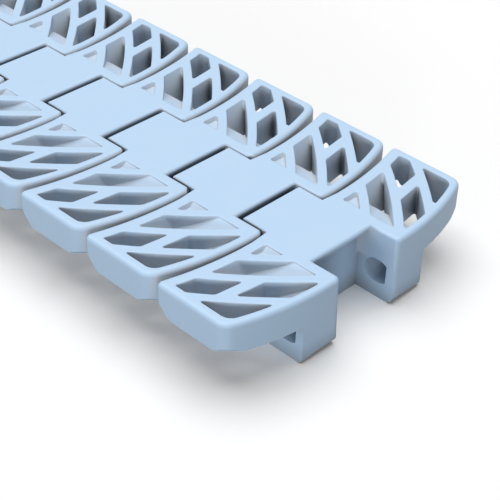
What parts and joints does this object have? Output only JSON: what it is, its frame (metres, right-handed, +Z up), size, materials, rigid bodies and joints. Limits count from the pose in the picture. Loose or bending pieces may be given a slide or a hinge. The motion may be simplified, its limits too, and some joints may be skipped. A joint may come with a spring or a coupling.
{
  "type": "flush grid modular belt",
  "caption": "Section of a side-flexing conveyor belt: moulded links with lattice wings and a flush deck, each hinged to the next on a D-section pin.",
  "frame": {"origin": "middle of the straight belt section's outline, on the plane that the legs' feet stand on", "axes": "+X is the running direction, towards the open notch of the first link, +Y is across the belt, and +Z is up, out of the carrying deck"},
  "size_m": [0.2149, 0.0864, 0.0202],
  "materials": {
    "link_plastic": "satin moulded",
    "pin_steel": "drawn bar"
  },
  "bodies": {
    "belt_link_01": {"belt_link_01": "link_plastic"},
    "belt_link_02": {"belt_link_02": "link_plastic"},
    "belt_link_03": {"belt_link_03": "link_plastic"},
    "belt_link_04": {"belt_link_04": "link_plastic"},
    "belt_link_05": {"belt_link_05": "link_plastic"},
    "belt_link_06": {"belt_link_06": "link_plastic"},
    "belt_link_07": {"belt_link_07": "link_plastic"},
    "belt_link_08": {"belt_link_08": "link_plastic"},
    "hinge_pin_01": {"hinge_pin_01": "pin_steel"},
    "hinge_pin_02": {"hinge_pin_02": "pin_steel"},
    "hinge_pin_03": {"hinge_pin_03": "pin_steel"},
    "hinge_pin_04": {"hinge_pin_04": "pin_steel"},
    "hinge_pin_05": {"hinge_pin_05": "pin_steel"},
    "hinge_pin_06": {"hinge_pin_06": "pin_steel"},
    "hinge_pin_07": {"hinge_pin_07": "pin_steel"}
  },
  "joints": [
    {"name": "wrap_01", "type": "hinge", "parent": "belt_link_01", "child": "hinge_pin_01", "pos_m": [0.07635, 0, 0.0079], "axis": [0, -1, 0], "range_deg": [-1, 40]},
    {"name": "side_flex_01", "type": "hinge", "parent": "hinge_pin_01", "child": "belt_link_02", "pos_m": [0.07635, 0, 0.0079], "axis": [0, 0, 1], "range_deg": [-1.5, 1.5]},
    {"name": "wrap_02", "type": "hinge", "parent": "belt_link_02", "child": "hinge_pin_02", "pos_m": [0.05095, 0, 0.0079], "axis": [0, -1, 0], "range_deg": [-1, 40]},
    {"name": "side_flex_02", "type": "hinge", "parent": "hinge_pin_02", "child": "belt_link_03", "pos_m": [0.05095, 0, 0.0079], "axis": [0, 0, 1], "range_deg": [-1.5, 1.5]},
    {"name": "wrap_03", "type": "hinge", "parent": "belt_link_03", "child": "hinge_pin_03", "pos_m": [0.02555, 0, 0.0079], "axis": [0, -1, 0], "range_deg": [-1, 40]},
    {"name": "side_flex_03", "type": "hinge", "parent": "hinge_pin_03", "child": "belt_link_04", "pos_m": [0.02555, 0, 0.0079], "axis": [0, 0, 1], "range_deg": [-1.5, 1.5]},
    {"name": "wrap_04", "type": "hinge", "parent": "belt_link_04", "child": "hinge_pin_04", "pos_m": [0.00015, 0, 0.0079], "axis": [0, -1, 0], "range_deg": [-1, 40]},
    {"name": "side_flex_04", "type": "hinge", "parent": "hinge_pin_04", "child": "belt_link_05", "pos_m": [0.00015, 0, 0.0079], "axis": [0, 0, 1], "range_deg": [-1.5, 1.5]},
    {"name": "wrap_05", "type": "hinge", "parent": "belt_link_05", "child": "hinge_pin_05", "pos_m": [-0.02525, 0, 0.0079], "axis": [0, -1, 0], "range_deg": [-1, 40]},
    {"name": "side_flex_05", "type": "hinge", "parent": "hinge_pin_05", "child": "belt_link_06", "pos_m": [-0.02525, 0, 0.0079], "axis": [0, 0, 1], "range_deg": [-1.5, 1.5]},
    {"name": "wrap_06", "type": "hinge", "parent": "belt_link_06", "child": "hinge_pin_06", "pos_m": [-0.05065, 0, 0.0079], "axis": [0, -1, 0], "range_deg": [-1, 40]},
    {"name": "side_flex_06", "type": "hinge", "parent": "hinge_pin_06", "child": "belt_link_07", "pos_m": [-0.05065, 0, 0.0079], "axis": [0, 0, 1], "range_deg": [-1.5, 1.5]},
    {"name": "wrap_07", "type": "hinge", "parent": "belt_link_07", "child": "hinge_pin_07", "pos_m": [-0.07605, 0, 0.0079], "axis": [0, -1, 0], "range_deg": [-1, 40]},
    {"name": "side_flex_07", "type": "hinge", "parent": "hinge_pin_07", "child": "belt_link_08", "pos_m": [-0.07605, 0, 0.0079], "axis": [0, 0, 1], "range_deg": [-1.5, 1.5]}
  ]
}
